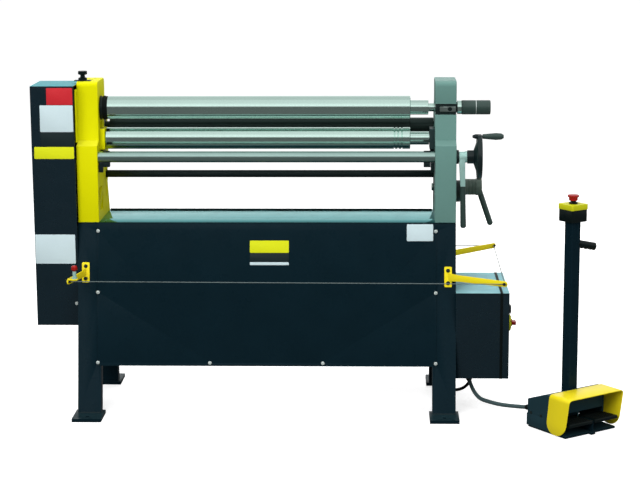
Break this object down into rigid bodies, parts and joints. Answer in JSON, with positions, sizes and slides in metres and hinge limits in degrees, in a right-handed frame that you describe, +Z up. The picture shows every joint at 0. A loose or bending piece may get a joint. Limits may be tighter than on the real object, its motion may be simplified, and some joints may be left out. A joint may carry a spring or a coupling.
{
  "type": "slip roll machine",
  "caption": "Powered slip roll on a sheet stand: pinch and rear bending rolls between cast sides, chain drive, control cabinet, trip wire and foot pedals.",
  "frame": {"origin": "on the floor, at the centre of the four anchor holes in the feet", "axes": "+X to the operator's right along the rolls, +Y away from the operator, +Z up"},
  "size_m": [1.9983, 0.8545, 1.171],
  "materials": {
    "yellow_paint": "semi-gloss paint",
    "grey_paint": "semi-gloss hammer paint",
    "dark_paint": "semi-gloss powder coat",
    "black_iron": "black enamel",
    "bright_steel": "ground",
    "black_steel": "blackened",
    "cast_iron": "as machined",
    "motor_alloy": "painted alloy",
    "black_plastic": "moulded",
    "yellow_plastic": "moulded",
    "red_plastic": "moulded",
    "plate_film": "printed film in red, yellow, white and black, blank",
    "rubber_black": "matt",
    "zinc_screws": "plated"
  },
  "bodies": {
    "frame": {"left_leg_frame": "dark_paint", "right_leg_frame": "dark_paint", "stand_top": "dark_paint", "front_panel": "dark_paint", "rear_panel": "dark_paint", "motor_shelf": "dark_paint", "stand_screws": "zinc_screws", "left_frame": "yellow_paint", "right_frame": "grey_paint", "adjuster_plates": "black_steel", "knob_plate": "black_steel", "gear_cover": "dark_paint", "blank_plates": "plate_film", "gear_motor": "motor_alloy", "drive_chain": "black_steel", "cabinet_body": "dark_paint", "cabinet_seal": "rubber_black", "cable_glands": "black_plastic", "front_trip_arms": "yellow_paint", "rear_trip_arms": "yellow_paint", "trip_wire": "zinc_screws", "trip_switch": "dark_paint", "pedal_base": "dark_paint", "pedal_housing": "dark_paint", "pedal_hood": "yellow_paint", "pedal_axle": "zinc_screws", "station_post": "dark_paint", "post_grip": "black_plastic", "stop_box": "black_plastic", "stop_lid": "yellow_plastic", "pedal_cable": "rubber_black", "motor_cable": "rubber_black"},
    "drive": {"drive_spindle": "cast_iron"},
    "motor_drive": {"motor_sprocket": "cast_iron"},
    "swing_arm": {"swing_block": "bright_steel", "release_grip": "black_plastic"},
    "upper_roller": {"upper_roll": "bright_steel"},
    "locking_screw": {"lock_screw": "black_steel"},
    "lower_carriage": {"lower_blocks": "yellow_paint"},
    "lower_roller": {"lower_roll": "bright_steel"},
    "pinch_lever": {"lift_shaft": "bright_steel", "side_lever": "grey_paint", "lever_grip": "black_plastic"},
    "hand_wheel": {"handwheel": "black_iron"},
    "hand_grip": {"crank_grip": "black_plastic"},
    "rear_carriage": {"rear_blocks": "cast_iron"},
    "rear_roller": {"rear_roll": "bright_steel"},
    "cross_drive": {"cross_shaft": "black_steel"},
    "adjuster": {"adjuster_shaft": "bright_steel", "adjuster_handle": "black_iron"},
    "clamp_knob": {"frame_knob": "black_plastic"},
    "door": {"cabinet_door": "dark_paint", "switch_plate": "yellow_plastic"},
    "latch": {"door_latch": "black_plastic"},
    "main_switch": {"switch_knob": "red_plastic"},
    "stop_mushroom": {"stop_button": "red_plastic"},
    "pedal_left": {"left_pedal": "black_plastic"},
    "pedal_right": {"right_pedal": "black_plastic"},
    "reset_cap": {"trip_reset": "red_plastic"}
  },
  "joints": [
    {"name": "swing_open", "type": "hinge", "parent": "frame", "child": "swing_arm", "pos_m": [-0.575, -0.004, 1.041], "axis": [0, 0, -1], "range_deg": [0, 7]},
    {"name": "upper_roll_spin", "type": "hinge", "parent": "swing_arm", "child": "upper_roller", "pos_m": [-0.575, -0.004, 1.041], "axis": [1, 0, 0], "continuous": true},
    {"name": "lock_screw_turn", "type": "hinge", "parent": "swing_arm", "child": "locking_screw", "pos_m": [0.6265, -0.045, 1.041], "axis": [0, 1, 0], "range_deg": [0, 90]},
    {"name": "drive_spin", "type": "hinge", "parent": "frame", "child": "drive", "pos_m": [-0.65, -0.004, 1.041], "axis": [1, 0, 0], "continuous": true},
    {"name": "motor_spin", "type": "hinge", "parent": "frame", "child": "motor_drive", "pos_m": [-0.65, -0.034, 0.4], "axis": [1, 0, 0], "continuous": true},
    {"name": "lower_lift", "type": "slide", "parent": "frame", "child": "lower_carriage", "axis": [0, 0, 1], "range_m": [0, 0.0275]},
    {"name": "lower_roll_spin", "type": "hinge", "parent": "lower_carriage", "child": "lower_roller", "pos_m": [0, -0.004, 0.935], "axis": [1, 0, 0], "continuous": true},
    {"name": "pinch_lever_turn", "type": "hinge", "parent": "frame", "child": "pinch_lever", "pos_m": [0, -0.08, 0.88], "axis": [1, 0, 0], "range_deg": [0, 20.5]},
    {"name": "handwheel_turn", "type": "hinge", "parent": "pinch_lever", "child": "hand_wheel", "pos_m": [0.72, -0.08, 0.88], "axis": [1, 0, 0], "continuous": true},
    {"name": "crank_grip_spin", "type": "hinge", "parent": "hand_wheel", "child": "hand_grip", "pos_m": [0.77, -0.08, 0.95], "axis": [1, 0, 0], "continuous": true},
    {"name": "rear_lift", "type": "slide", "parent": "frame", "child": "rear_carriage", "axis": [0, 0, 1], "range_m": [-0.03, 0.03]},
    {"name": "rear_roll_spin", "type": "hinge", "parent": "rear_carriage", "child": "rear_roller", "pos_m": [0, 0.096, 0.964], "axis": [1, 0, 0], "continuous": true},
    {"name": "cross_shaft_turn", "type": "hinge", "parent": "frame", "child": "cross_drive", "pos_m": [0, 0.1, 0.795], "axis": [1, 0, 0], "range_deg": [-107.5, 107.5]},
    {"name": "adjuster_turn", "type": "hinge", "parent": "frame", "child": "adjuster", "pos_m": [0.66, 0.055, 0.75531], "axis": [1, 0, 0], "range_deg": [-39.2, 39.2]},
    {"name": "clamp_knob_turn", "type": "hinge", "parent": "frame", "child": "clamp_knob", "pos_m": [-0.63, -0.038, 1.15], "axis": [0, 0, 1], "range_deg": [-180, 180]},
    {"name": "door_hinge", "type": "hinge", "parent": "frame", "child": "door", "pos_m": [0.8118, 0.182, 0.275], "axis": [0, 0, 1], "range_deg": [0, 110]},
    {"name": "latch_turn", "type": "hinge", "parent": "door", "child": "latch", "pos_m": [0.83, -0.13, 0.36], "axis": [1, 0, 0], "range_deg": [0, 90]},
    {"name": "switch_turn", "type": "hinge", "parent": "door", "child": "main_switch", "pos_m": [0.84, -0.05, 0.294], "axis": [1, 0, 0], "range_deg": [0, 90]},
    {"name": "stop_press", "type": "slide", "parent": "frame", "child": "stop_mushroom", "axis": [0, 0, -1], "range_m": [0, 0.005]},
    {"name": "left_pedal_press", "type": "hinge", "parent": "frame", "child": "pedal_left", "pos_m": [1.04122, -0.33994, 0.036], "axis": [0.8059, 0.592, 0], "range_deg": [0, 8], "stiffness_Nm_per_rad": 8, "springref_deg": -8.59},
    {"name": "right_pedal_press", "type": "hinge", "parent": "frame", "child": "pedal_right", "pos_m": [1.04122, -0.33994, 0.036], "axis": [0.8059, 0.592, 0], "range_deg": [0, 8], "stiffness_Nm_per_rad": 8, "springref_deg": -8.59},
    {"name": "trip_reset_press", "type": "slide", "parent": "frame", "child": "reset_cap", "axis": [0, 0, -1], "range_m": [0, 0.004], "stiffness_N_per_m": 900, "springref_m": -0.002}
  ],
  "couplings": [
    {"joint": "drive_spin", "follows": "upper_roll_spin", "ratio": 1},
    {"joint": "motor_spin", "follows": "upper_roll_spin", "ratio": 1.7333},
    {"joint": "lower_roll_spin", "follows": "upper_roll_spin", "ratio": -1.0667},
    {"joint": "pinch_lever_turn", "follows": "lower_lift", "rad_per_m": 13},
    {"joint": "cross_shaft_turn", "follows": "rear_lift", "rad_per_m": -62.5},
    {"joint": "adjuster_turn", "follows": "rear_lift", "rad_per_m": 22.727}
  ]
}
